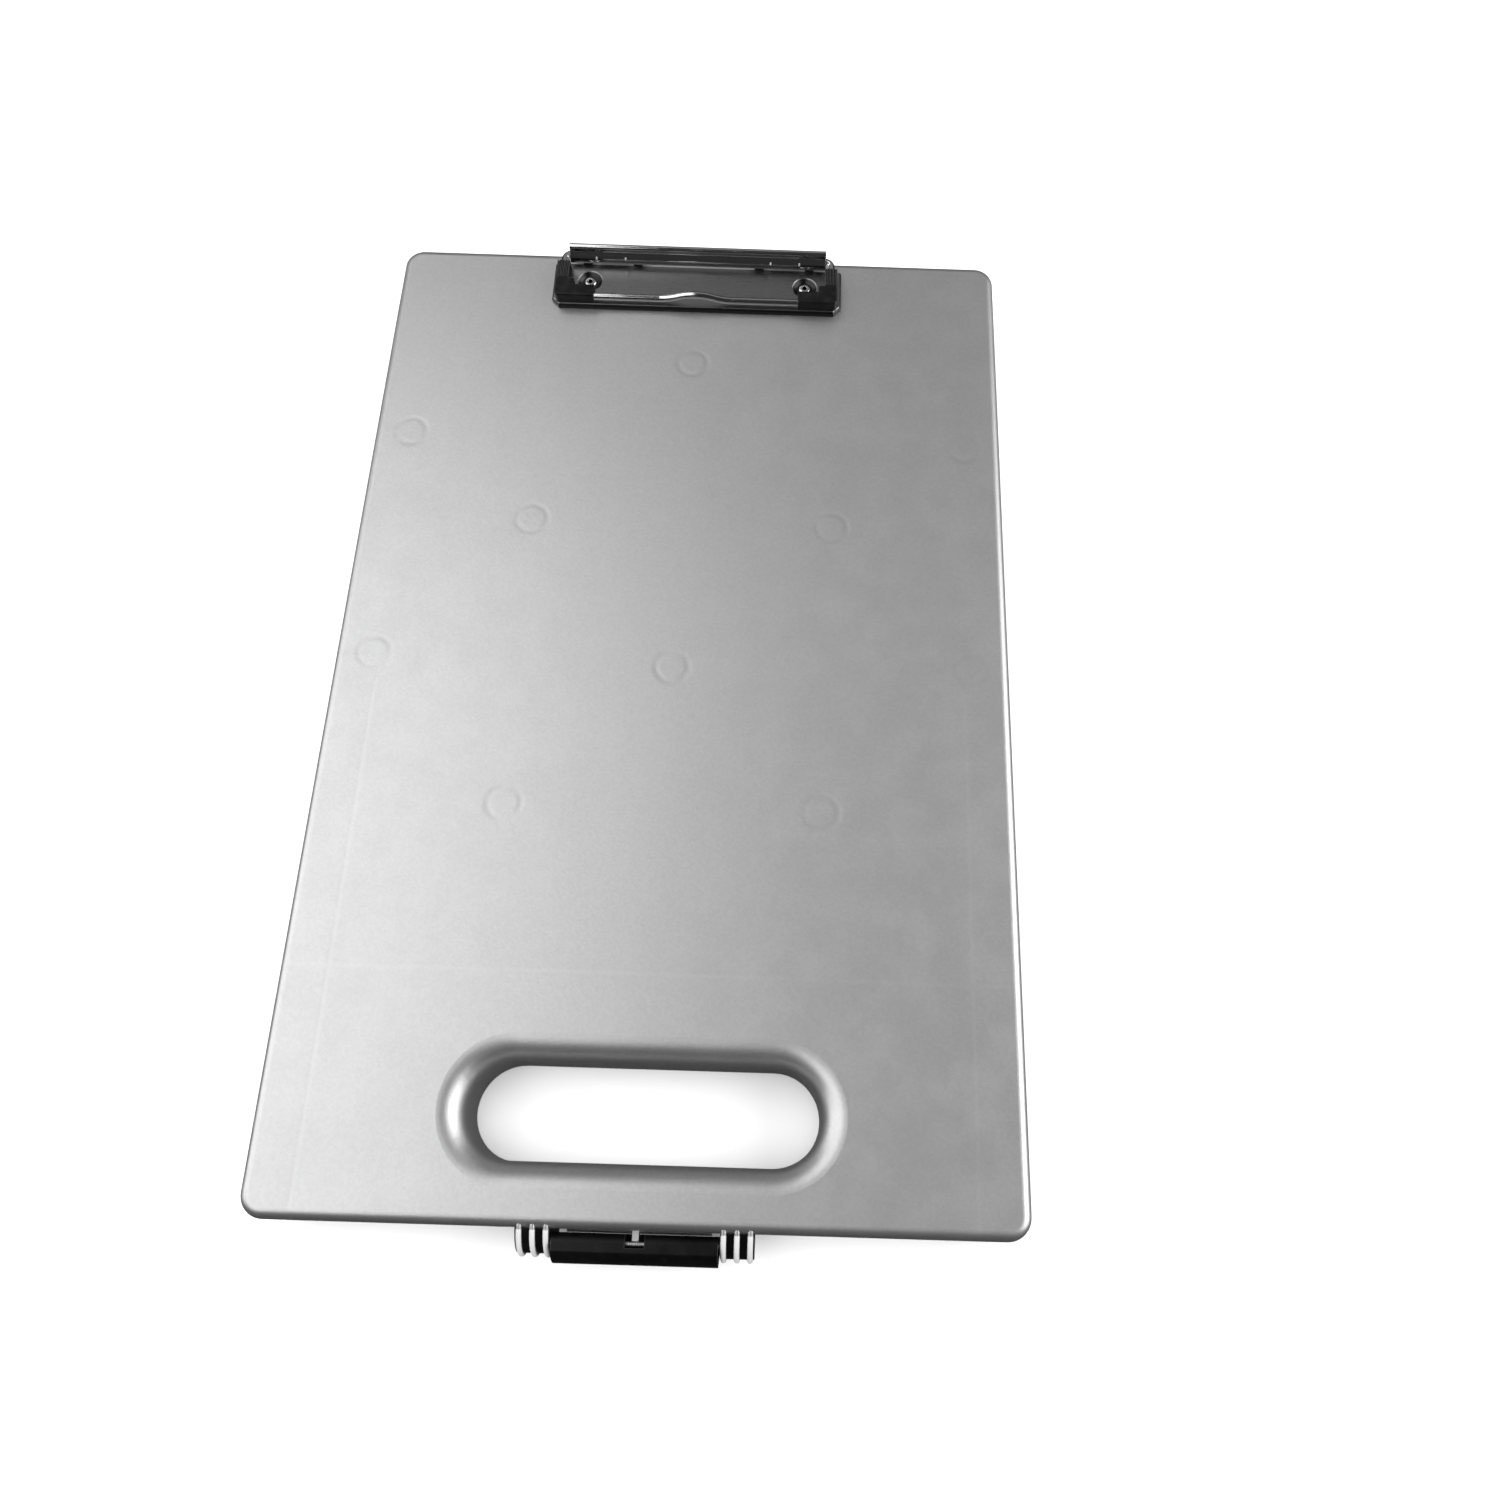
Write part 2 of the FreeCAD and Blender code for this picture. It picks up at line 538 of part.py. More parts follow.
# ---------------------------------------------------------------- clip, moving part
def bail_half_route():
    """Centre line of the bail's -X half, from its pin end to the middle of the arch."""
    z = CLIP_AXIS_Z
    x = -BAIL_HALF_WIDTH
    rear = CLIP_AXIS_Y
    bar = HALF_L - BAIL_BAR_TO_REAR
    bend = BAIL_BEND
    tuck = bend * (1 - math.sqrt(0.5))
    quarter = ARCH_HALF_WIDTH / 2
    radius = (quarter ** 2 + (ARCH_RISE / 2) ** 2) / ARCH_RISE
    half_turn = math.asin(quarter / radius) / 2
    side = radius * math.sin(half_turn)
    rise = radius * (1 - math.cos(half_turn))
    foot = Vector(-ARCH_HALF_WIDTH, bar, z)
    waist = Vector(-quarter, bar, z + ARCH_RISE / 2)
    crown = Vector(0, bar, z + ARCH_RISE)
    return [
        Part.LineSegment(Vector(-BAIL_PIN_END_X, rear, z), Vector(x + bend, rear, z)),
        Part.Arc(Vector(x + bend, rear, z), Vector(x + tuck, rear - tuck, z),
                 Vector(x, rear - bend, z)),
        Part.LineSegment(Vector(x, rear - bend, z), Vector(x, bar + bend, z)),
        Part.Arc(Vector(x, bar + bend, z), Vector(x + tuck, bar + tuck, z),
                 Vector(x + bend, bar, z)),
        Part.LineSegment(Vector(x + bend, bar, z), foot),
        Part.Arc(foot, foot + Vector(side, 0, rise), waist),
        Part.Arc(waist, crown - Vector(side, 0, rise), crown),
    ]


def make_bail_wire():
    """Spring wire bail: two pin ends, two arms and a front bar with a finger arch."""
    route = [segment.toShape() for segment in bail_half_route()]
    route = Part.Wire(route)
    start = Vector(-BAIL_PIN_END_X, CLIP_AXIS_Y, CLIP_AXIS_Z)
    ring = Part.Wire([Part.Circle(start, X_AXIS, WIRE_RADIUS).toShape()])
    half = route.makePipeShell([ring], True, False)
    return half.fuse(mirrored(half)).removeSplitter()


def make_corner_grip(side, bail):
    """Black rubber corner: ribbed sleeve on the arm and an L-shaped shoe at the corner."""
    z0 = CLIP_AXIS_Z - WIRE_RADIUS - GRIP_SOLE
    z1 = CLIP_AXIS_Z + WIRE_RADIUS + GRIP_TOP_WALL
    out = BAIL_HALF_WIDTH + WIRE_RADIUS + GRIP_WALL
    sleeve_in = BAIL_HALF_WIDTH - WIRE_RADIUS - GRIP_WALL
    leg_in = out - GRIP_LEG_WIDTH
    front = HALF_L - BAIL_BAR_TO_REAR - WIRE_RADIUS - GRIP_FRONT_WALL
    knee = HALF_L - SLEEVE_END_TO_REAR
    sleeve = block(sleeve_in, out, knee, HALF_L - SLEEVE_START_TO_REAR, z0, z1)
    pitch = (out - sleeve_in) / SLEEVE_GROOVES
    for i in range(SLEEVE_GROOVES):
        x = sleeve_in + (i + 0.5) * pitch
        sleeve = sleeve.cut(block(x - GROOVE_WIDTH / 2, x + GROOVE_WIDTH / 2, knee + GRIP_ROUND,
                                  FAR, z1 - GROOVE_DEPTH, FAR))
    leg = block(leg_in, out, front, knee, z0, z1)
    toe = block(leg_in - GRIP_TOE_LENGTH, leg_in, front, front + GRIP_TOE_DEPTH, z0, z1)
    shoe = leg.fuse(toe).removeSplitter()
    corner = [e for e in shoe.Edges if e.BoundBox.ZLength > 1
              and e.BoundBox.XMin > out - 1e-4 and e.BoundBox.YMax < front + 1e-4]
    shoe = shoe.makeFillet(GRIP_ROUND * 2, corner)
    shoe = shoe.makeFillet(GRIP_ROUND, edges_at(shoe, z1, lambda p: p.y < knee - 1e-3))
    grip = join([shoe, sleeve])
    if side < 0:
        grip = mirrored(grip)
    return grip.cut(bail)


def lever_profile(x):
    """Closed section of the lever's S-shaped sheet in the plane at x."""
    inner = LOOP_RADIUS + LEVER_LOOP_GAP
    outer = inner + LEVER_SHEET
    hollow = LEVER_HOLLOW_RADIUS
    lip = LEVER_LIP_RADIUS
    start = math.radians(LEVER_ARC_START)
    end = math.radians(LEVER_ARC_END)

    def place(out, up):
        return Vector(x, CLIP_AXIS_Y - out, CLIP_AXIS_Z + up)

    def polar(cx, cz, radius, angle):
        return place(cx + radius * math.cos(angle), cz + radius * math.sin(angle))

    hx = (outer + hollow) * math.cos(end)
    hz = (outer + hollow) * math.sin(end)
    lx = hx - hollow - lip
    back = lx - LEVER_LIP_LENGTH
    thick = LEVER_SHEET
    turn = (math.pi + end + math.pi) / 2

    def front_arc(radius):
        return Part.Arc(polar(0, 0, radius, start), polar(0, 0, radius, (start + end) / 2),
                        polar(0, 0, radius, end))

    def hollow_arc(radius):
        return Part.Arc(polar(hx, hz, radius, math.pi + end), polar(hx, hz, radius, turn),
                        polar(hx, hz, radius, math.pi))

    def lip_arc(radius):
        return Part.Arc(polar(lx, hz, radius, 0), polar(lx, hz, radius, math.pi / 4),
                        polar(lx, hz, radius, math.pi / 2))

    edges = [
        front_arc(outer),
        hollow_arc(hollow),
        lip_arc(lip),
        Part.LineSegment(place(lx, hz + lip), place(back, hz + lip)),
        Part.LineSegment(place(back, hz + lip), place(back, hz + lip - thick)),
        Part.LineSegment(place(back, hz + lip - thick), place(lx, hz + lip - thick)),
        lip_arc(lip - thick),
        hollow_arc(hollow + thick),
        front_arc(inner),
        Part.LineSegment(polar(0, 0, inner, start), polar(0, 0, outer, start)),
    ]
    return Part.Wire(Part.__sortEdges__([edge.toShape() for edge in edges]))


def make_thumb_lever():
    """Curved sheet lever with an eye at each end that is crimped on the bail."""
    sheet = Part.Face(lever_profile(-LEVER_HALF_WIDTH))
    pieces = [sheet.extrude(Vector(2 * LEVER_HALF_WIDTH, 0, 0))]
    reach = LOOP_RADIUS + LEVER_LOOP_GAP + LEVER_SHEET / 2
    x0, x1 = LEVER_EYE_SPAN
    for a, b in ((x0, x1), (-x1, -x0)):
        pieces.append(rod(a, b, CLIP_AXIS_Y, CLIP_AXIS_Z, LOOP_RADIUS))
        pieces.append(block(a, b, CLIP_AXIS_Y - reach, CLIP_AXIS_Y, CLIP_AXIS_Z,
                            CLIP_AXIS_Z + LEVER_SHEET))
    lever = join(pieces)
    return lever.cut(rod(-x1, x1, CLIP_AXIS_Y, CLIP_AXIS_Z, WIRE_RADIUS))


def make_torsion_spring(side):
    """Close-wound torsion spring: a grooved sleeve of coils and two straight legs."""
    x0, x1 = SPRING_SPAN
    wire = SPRING_WIRE_RADIUS
    bore = WIRE_RADIUS + SPRING_BORE_GAP
    mean = bore + wire
    turns = int((x1 - x0) / (2 * wire))
    pitch = (x1 - x0) / turns

    def place(x, radius):
        return Vector(x, CLIP_AXIS_Y, CLIP_AXIS_Z + radius)

    def leg(x, angle, length):
        out = mean * math.cos(math.radians(angle))
        up = mean * math.sin(math.radians(angle))
        root = Vector(x, CLIP_AXIS_Y - out, CLIP_AXIS_Z + up)
        return Part.makeCylinder(wire, length, root, Vector(0, -1, 0))

    edges = []
    for i in range(turns):
        start = x0 + i * pitch
        edges.append(Part.Arc(place(start, mean), place(start + pitch / 2, mean + wire),
                              place(start + pitch, mean)).toShape())
    corners = [place(x1, mean), place(x1, bore), place(x0, bore), place(x0, mean)]
    edges += [Part.makeLine(p, q) for p, q in zip(corners, corners[1:])]
    sleeve = Part.Face(Part.Wire(edges)).revolve(place(0, 0), X_AXIS, 360)
    head = math.radians(SPRING_HEAD_ANGLE)
    lever_face = LOOP_RADIUS + LEVER_LOOP_GAP - wire
    reach = math.sqrt(lever_face ** 2 - (mean * math.sin(head)) ** 2) - mean * math.cos(head)
    spring = join([sleeve, leg(x0 + pitch / 2, SPRING_FOOT_ANGLE, SPRING_LEG_LENGTH),
                   leg(x1 - pitch / 2, SPRING_HEAD_ANGLE, reach)])
    return spring if side > 0 else mirrored(spring)


# ---------------------------------------------------------------- the whole clipboard
def make_nodes():
    """All sub-parts by node name."""
    nodes = {"tray_shell": make_tray_shell(), "lid_shell": make_lid_shell()}
    nodes["latch_pin"] = make_latch_pin()
    nodes["latch_flap"] = make_latch_flap()
    nodes["clip_base_plate"] = make_base_plate()
    nodes["bail_wire"] = make_bail_wire()
    nodes["thumb_lever"] = make_thumb_lever()
    for name, side in (("left", -1), ("right", 1)):
        nodes["hinge_pin_" + name] = make_hinge_pin(side)
        nodes["latch_block_" + name] = make_latch_block(side, nodes["lid_shell"])
        nodes["clip_rivet_" + name] = make_rivet(side)
        nodes["rivet_washer_" + name] = make_rivet_washer(side)
        nodes["corner_grip_" + name] = make_corner_grip(side, nodes["bail_wire"])
        nodes["torsion_spring_" + name] = make_torsion_spring(side)
    return nodes


os.makedirs("parts", exist_ok=True)
for node_name, node_shape in make_nodes().items():
    box = node_shape.BoundBox
    print("%-22s solids %d valid %s volume %9.1f  x %7.1f %7.1f  y %7.1f %7.1f  z %6.2f %6.2f" % (
        node_name, len(node_shape.Solids), node_shape.isValid(), node_shape.Volume,
        box.XMin, box.XMax, box.YMin, box.YMax, box.ZMin, box.ZMax))
    node_shape.exportStep("parts/" + node_name + ".step")
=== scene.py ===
"""Looks of a storage clipboard: finishes, wound springs, floor, light and camera.

Everything is in metres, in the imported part's own frame: +Z out of the writing
surface, +Y to the hinge and the clip, -Y to the carrying slot and the latch.
"""
import logging
import math
from dataclasses import dataclass, field
from enum import Enum
from typing import Any, Sequence

import bmesh
import bpy
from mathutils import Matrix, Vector


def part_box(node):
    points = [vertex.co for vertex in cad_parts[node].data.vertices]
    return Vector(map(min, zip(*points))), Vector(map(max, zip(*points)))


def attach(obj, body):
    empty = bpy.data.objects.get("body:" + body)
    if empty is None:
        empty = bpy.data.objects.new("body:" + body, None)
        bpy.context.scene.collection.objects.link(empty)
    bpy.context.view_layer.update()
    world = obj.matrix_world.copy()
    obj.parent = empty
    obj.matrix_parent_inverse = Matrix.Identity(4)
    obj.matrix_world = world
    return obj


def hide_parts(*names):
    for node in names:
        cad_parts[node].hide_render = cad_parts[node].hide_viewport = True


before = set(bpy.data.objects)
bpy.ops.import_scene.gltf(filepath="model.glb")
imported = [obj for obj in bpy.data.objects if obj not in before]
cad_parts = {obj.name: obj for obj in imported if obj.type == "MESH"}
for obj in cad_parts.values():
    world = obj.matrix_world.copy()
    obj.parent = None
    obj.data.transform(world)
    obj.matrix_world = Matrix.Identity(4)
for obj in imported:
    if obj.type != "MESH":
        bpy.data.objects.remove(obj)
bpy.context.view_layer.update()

LOG = logging.getLogger("storage_clipboard")
MM = 0.001

Socket = bpy.types.NodeSocket
Colour = tuple[float, float, float]


class Side(Enum):
    """A half of the case, with the sign of its X."""

    LEFT = -1
    RIGHT = 1

    @property
    def word(self) -> str:
        """The side's name, as the part's nodes spell it."""
        return self.name.lower()


class Grain(Enum):
    """Which way a metal's polishing or drawing lines run."""

    ALONG_X = (1.0, 40.0, 40.0)
    ROUND_X = (60.0, 3.0, 3.0)


# ------------------------------------------------------------------ node sheet
class NodeSheet:
    """One material's nodes, with short ways to add and join them."""

    def __init__(self, name: str) -> None:
        """Start a material.

        Args:
            name: the material's name.
        """
        self.material = bpy.data.materials.new(name)
        self.material.use_nodes = True
        self.nodes = self.material.node_tree.nodes
        self.links = self.material.node_tree.links
        self.shader = self.nodes["Principled BSDF"]
        self.place = self.nodes.new("ShaderNodeTexCoord").outputs["Object"]

    def put(self, socket: Socket, value: Any) -> None:
        """Set a socket to a plain value, or link another socket into it.

        Args:
            socket: the input to fill.
            value: a number, a tuple or an output socket.
        """
        if isinstance(value, bpy.types.NodeSocket):
            self.links.new(value, socket)
        elif isinstance(value, tuple) and len(value) == 3 and socket.type == "RGBA":
            socket.default_value = (*value, 1.0)
        else:
            socket.default_value = value

    def set(self, **inputs: Any) -> None:
        """Fill the shader's inputs, named with _ for a space."""
        for name, value in inputs.items():
            self.put(self.shader.inputs[name.replace("_", " ")], value)

    def stretched(self, stretch: Sequence[float], turn: float = 0.0) -> Socket:
        """Object coordinates scaled by axis and turned about Z.

        Args:
            stretch: the scale on X, Y and Z.
            turn: the turn about Z in radians.

        Returns:
            The mapped coordinates.
        """
        mapping = self.nodes.new("ShaderNodeMapping")
        mapping.inputs["Scale"].default_value = tuple(stretch)
        mapping.inputs["Rotation"].default_value = (0.0, 0.0, turn)
        self.put(mapping.inputs["Vector"], self.place)
        return mapping.outputs["Vector"]

    def noise(self, scale: float, detail: float = 2.0, where: Socket | None = None) -> Socket:
        """Noise from 0 to 1.

        Args:
            scale: features to the metre.
            detail: octaves.
            where: coordinates, or None for the plain ones.

        Returns:
            The noise value.
        """
        node = self.nodes.new("ShaderNodeTexNoise")
        self.put(node.inputs["Vector"], where or self.place)
        node.inputs["Scale"].default_value = scale
        node.inputs["Detail"].default_value = detail
        return node.outputs["Fac"]

    def cells(self, scale: float) -> Socket:
        """A random number for each small cell.

        Args:
            scale: cells to the metre.

        Returns:
            A value from 0 to 1, one for each cell.
        """
        node = self.nodes.new("ShaderNodeTexVoronoi")
        self.put(node.inputs["Vector"], self.place)
        node.inputs["Scale"].default_value = scale
        split = self.nodes.new("ShaderNodeSeparateColor")
        self.links.new(node.outputs["Color"], split.inputs["Color"])
        return split.outputs["Red"]

    def ranged(self, value: Socket, low: float, high: float, to_low: float, to_high: float) -> Socket:
        """Move a value smoothly from one range to another.

        Args:
            value: what to move.
            low: its low end.
            high: its high end.
            to_low: the result at the low end.
            to_high: the result at the high end.

        Returns:
            The moved value, held within its ends.
        """
        node = self.nodes.new("ShaderNodeMapRange")
        node.interpolation_type = "SMOOTHSTEP"
        self.put(node.inputs["Value"], value)
        for name, number in zip(("From Min", "From Max", "To Min", "To Max"),
                                (low, high, to_low, to_high)):
            node.inputs[name].default_value = number
        return node.outputs["Result"]

    def sum(self, operation: str, first: Any, second: Any = 0.0) -> Socket:
        """One step of arithmetic.

        Args:
            operation: the Math node's operation.
            first: a number or socket.
            second: a number or socket.

        Returns:
            The result.
        """
        node = self.nodes.new("ShaderNodeMath")
        node.operation = operation
        self.put(node.inputs[0], first)
        self.put(node.inputs[1], second)
        return node.outputs[0]

    def blend(self, share: Any, first: Any, second: Any) -> Socket:
        """Mix two colours.

        Args:
            share: how much of the second.
            first: a colour or socket.
            second: a colour or socket.

        Returns:
            The mixed colour.
        """
        node = self.nodes.new("ShaderNodeMix")
        node.data_type = "RGBA"
        self.put(node.inputs["Factor"], share)
        self.put(node.inputs[6], first)
        self.put(node.inputs[7], second)
        return node.outputs[2]

    def axis(self, letter: str) -> Socket:
        """One of the object coordinates, X, Y or Z."""
        node = self.nodes.new("ShaderNodeSeparateXYZ")
        self.links.new(self.place, node.inputs["Vector"])
        return node.outputs[letter]

    def rounded(self, radius: float) -> Socket:
        """The surface's normal with its sharp edges broken.

        Args:
            radius: the broken edge's radius.

        Returns:
            The normal.
        """
        node = self.nodes.new("ShaderNodeBevel")
        node.samples = 6
        node.inputs["Radius"].default_value = radius
        return node.outputs["Normal"]

    def edges(self, radius: float) -> Socket:
        """A mask of the outer and inner edges.

        Args:
            radius: how far from an edge it reaches.

        Returns:
            0 on faces, 1 on edges.
        """
        node = self.nodes.new("ShaderNodeVectorMath")
        node.operation = "DOT_PRODUCT"
        true_normal = self.nodes.new("ShaderNodeNewGeometry").outputs["Normal"]
        self.put(node.inputs[0], self.rounded(radius))
        self.put(node.inputs[1], true_normal)
        return self.ranged(node.outputs["Value"], 0.86, 0.985, 1.0, 0.0)

    def bump(self, height: Socket, depth: float, normal: Socket | None = None) -> Socket:
        """A normal pushed by a height.

        Args:
            height: the height, 0 to 1.
            depth: what a height of 1 stands for.
            normal: the normal to start from.

        Returns:
            The normal.
        """
        node = self.nodes.new("ShaderNodeBump")
        node.inputs["Strength"].default_value = 1.0
        node.inputs["Distance"].default_value = depth
        self.put(node.inputs["Height"], height)
        if normal is not None:
            self.put(node.inputs["Normal"], normal)
        return node.outputs["Normal"]

    def scratches(self, turn: float, spacing: float) -> Socket:
        """Sparse fine lines along one direction of the XY plane.

        Args:
            turn: their direction in radians from X.
            spacing: lines to the metre.

        Returns:
            0 on clean surface, 1 in a scratch.
        """
        where = self.stretched((9.0, spacing, 9.0), turn)
        line = self.noise(1.0, 1.0, where)
        off = self.sum("ABSOLUTE", self.sum("SUBTRACT", line, 0.5))
        thin = self.ranged(off, 0.0, 0.006, 1.0, 0.0)
        patch = self.ranged(self.noise(22.0, 1.0), 0.55, 0.68, 0.0, 1.0)
        return self.sum("MULTIPLY", thin, patch)


# -------------------------------------------------------------------- finishes
@dataclass(frozen=True)
class MouldedSilver:
    """Grey plastic with metal flake, a fine moulded grain and sink marks."""

    name: str
    light: Colour = (0.62, 0.62, 0.625)
    dark: Colour = (0.54, 0.54, 0.545)
    rub: Colour = (0.70, 0.70, 0.70)
    grain_scale: float = 1300.0
    grain_depth: float = 0.034 * MM
    flake_scale: float = 1150.0
    sink_marks: tuple[tuple[float, float], ...] = ()
    sink_radius: float = 6.0 * MM
    sink_depth: float = 0.06 * MM
    sink_fade: float = 2.0 * MM
    ribs_along_x: tuple[float, ...] = ()
    ribs_along_y: tuple[float, ...] = ()
    ribs_reach_y: float = -0.004
    rib_depth: float = 0.02 * MM
    rib_fade: float = 1.3 * MM
    rib_end_fade: float = 10.0 * MM
    crest_centre: tuple[float, float] = (-0.1927, 0.015)
    crest_radius: float = 11.6 * MM
    crest_front: float = -0.1966
    crest_fade: float = 0.3 * MM
    # Painted highlight: the tone given to the latch ribs' crests.
    crest_highlight_tone: Colour = (0.58, 0.58, 0.58)

    def sunk(self, sheet: NodeSheet) -> Socket:
        """The rings where the plastic has sunk over bosses.

        Args:
            sheet: the material's nodes.

        Returns:
            0 on flat surface, 1 on a ring.
        """
        flat = sheet.nodes.new("ShaderNodeCombineXYZ")
        sheet.put(flat.inputs["X"], sheet.axis("X"))
        sheet.put(flat.inputs["Y"], sheet.axis("Y"))
        nearest: Any = 1.0
        for x, y in self.sink_marks:
            away = sheet.nodes.new("ShaderNodeVectorMath")
            away.operation = "DISTANCE"
            sheet.put(away.inputs[0], flat.outputs["Vector"])
            away.inputs[1].default_value = (x, y, 0.0)
            nearest = sheet.sum("MINIMUM", nearest, away.outputs["Value"])
        off = sheet.sum("ABSOLUTE", sheet.sum("SUBTRACT", nearest, self.sink_radius))
        ring = sheet.ranged(off, 0.0, self.sink_fade, 1.0, 0.0)
        return sheet.sum("MULTIPLY", ring, sheet.ranged(sheet.noise(70.0, 2.0), 0.35, 0.6, 0.35, 1.0))

    def read_through(self, sheet: NodeSheet) -> Socket:
        """Faint lines where ribs on the inside show through.

        Args:
            sheet: the material's nodes.

        Returns:
            0 on plain surface, 1 over a rib.
        """
        lines: Any = 0.0
        for y in self.ribs_along_x:
            off = sheet.sum("ABSOLUTE", sheet.sum("SUBTRACT", sheet.axis("Y"), y))
            lines = sheet.sum("MAXIMUM", lines, sheet.ranged(off, 0.0, self.rib_fade, 1.0, 0.0))
        for x in self.ribs_along_y:
            off = sheet.sum("ABSOLUTE", sheet.sum("SUBTRACT", sheet.axis("X"), x))
            line = sheet.ranged(off, 0.0, self.rib_fade, 1.0, 0.0)
            near = sheet.ranged(sheet.axis("Y"), self.ribs_reach_y - self.rib_end_fade,
                                self.ribs_reach_y, 1.0, 0.0)
            lines = sheet.sum("MAXIMUM", lines, sheet.sum("MULTIPLY", line, near))
        return lines

    def crests(self, sheet: NodeSheet) -> Socket:
        """The latch ribs' crests, which carry a painted highlight: their own tone, far less metallic, so
        the room light shows them pale.

        Args:
            sheet: the material's nodes.

        Returns:
            0 elsewhere, 1 on a crest.
        """
        side = sheet.nodes.new("ShaderNodeCombineXYZ")
        sheet.put(side.inputs["Y"], sheet.axis("Y"))
        sheet.put(side.inputs["Z"], sheet.axis("Z"))
        away = sheet.nodes.new("ShaderNodeVectorMath")
        away.operation = "DISTANCE"
        sheet.put(away.inputs[0], side.outputs["Vector"])
        away.inputs[1].default_value = (0.0, *self.crest_centre)
        fade = self.crest_fade
        high = sheet.ranged(away.outputs["Value"], self.crest_radius - fade, self.crest_radius + fade,
                            0.0, 1.0)
        ahead = sheet.ranged(sheet.axis("Y"), self.crest_front - fade, self.crest_front + fade, 1.0, 0.0)
        return sheet.sum("MULTIPLY", high, ahead)

    def build(self) -> bpy.types.Material:
        """Make the material.

        Returns:
            The finished material.
        """
        sheet = NodeSheet(self.name)
        broad = sheet.ranged(sheet.noise(9.0, 3.0), 0.3, 0.7, 0.0, 1.0)
        swirl = sheet.noise(14.0, 4.0, sheet.stretched((5.0, 0.8, 3.0), 0.35))
        flow = sheet.ranged(swirl, 0.3, 0.7, 0.0, 1.0)
        flake = sheet.cells(self.flake_scale)
        edge_mask = sheet.edges(0.7 * MM)
        colour = sheet.blend(sheet.sum("MULTIPLY", flow, 0.14), self.light, self.dark)
        colour = sheet.blend(sheet.sum("MULTIPLY", broad, 0.12), colour, self.dark)
        colour = sheet.blend(sheet.sum("MULTIPLY", flake, 0.42), colour, self.rub)
        colour = sheet.blend(sheet.sum("MULTIPLY", edge_mask, 0.5), colour, self.rub)
        grain = sheet.noise(self.grain_scale, 3.0)
        scuff = sheet.sum("MAXIMUM", sheet.scratches(0.5, 420.0), sheet.scratches(-1.1, 360.0))
        height = sheet.sum("SUBTRACT", grain, sheet.sum("MULTIPLY", scuff, 0.2))
        normal = sheet.bump(height, self.grain_depth)
        if self.sink_marks:
            ring = self.sunk(sheet)
            colour = sheet.blend(sheet.sum("MULTIPLY", ring, 0.3), colour, self.dark)
            normal = sheet.bump(sheet.sum("SUBTRACT", 1.0, ring), self.sink_depth, normal)
        if self.ribs_along_x or self.ribs_along_y:
            ribs = self.read_through(sheet)
            colour = sheet.blend(sheet.sum("MULTIPLY", ribs, 0.25), colour, self.rub)
            normal = sheet.bump(sheet.sum("SUBTRACT", 1.0, ribs), self.rib_depth, normal)
        haze = sheet.ranged(sheet.noise(90.0, 4.0), 0.35, 0.7, 0.43, 0.455)
        rough = sheet.sum("SUBTRACT", haze, sheet.sum("MULTIPLY", edge_mask, 0.08))
        # Painted highlight on the latch ribs' crests: a far less metallic tone that reads pale.
        crest = self.crests(sheet)
        colour = sheet.blend(crest, colour, self.crest_highlight_tone)
        metal = sheet.ranged(crest, 0.0, 1.0, 0.97, 0.25)
        sheet.set(Base_Color=colour, Metallic=metal, Roughness=rough, Normal=normal)
        return sheet.material


@dataclass(frozen=True)
class MouldedBlack:
    """Black plastic or rubber with a fine texture and paler edges, partly wear and partly a painted
    highlight.
    """

    name: str
    base: Colour = (0.0012, 0.0012, 0.0013)
    wear_and_highlight: Colour = (0.05, 0.05, 0.052)
    gloss_low: float = 0.24
    gloss_high: float = 0.36
    grain_scale: float = 1700.0
    grain_depth: float = 0.010 * MM
    edge: float = 0.45 * MM

    def build(self) -> bpy.types.Material:
        """Make the material.

        Returns:
            The finished material.
        """
        sheet = NodeSheet(self.name)
        edge_mask = sheet.edges(self.edge)
        dust = sheet.ranged(sheet.noise(260.0, 5.0), 0.45, 0.75, 0.0, 1.0)
        tone = sheet.ranged(sheet.noise(60.0, 3.0), 0.3, 0.7, 0.0, 1.0)
        colour = sheet.blend(sheet.sum("MULTIPLY", tone, 0.02), self.base, self.wear_and_highlight)
        colour = sheet.blend(sheet.sum("MULTIPLY", dust, 0.03), colour, self.wear_and_highlight)
        # Edges blend to the paler colour: partly wear, partly a painted highlight along edges and
        # grooves.
        colour = sheet.blend(sheet.sum("MULTIPLY", edge_mask, 0.6), colour, self.wear_and_highlight)
        scuff = sheet.scratches(0.2, 900.0)
        grain = sheet.noise(self.grain_scale, 2.0)
        height = sheet.sum("SUBTRACT", grain, sheet.sum("MULTIPLY", scuff, 0.7))
        normal = sheet.bump(height, self.grain_depth, sheet.rounded(self.edge))
        haze = sheet.ranged(sheet.noise(120.0, 4.0), 0.3, 0.7, self.gloss_low, self.gloss_high)
        rough = sheet.sum("ADD", haze, sheet.sum("MULTIPLY", scuff, 0.12))
        sheet.set(Base_Color=colour, Roughness=rough, Normal=normal, Specular_IOR_Level=0.22)
        return sheet.material


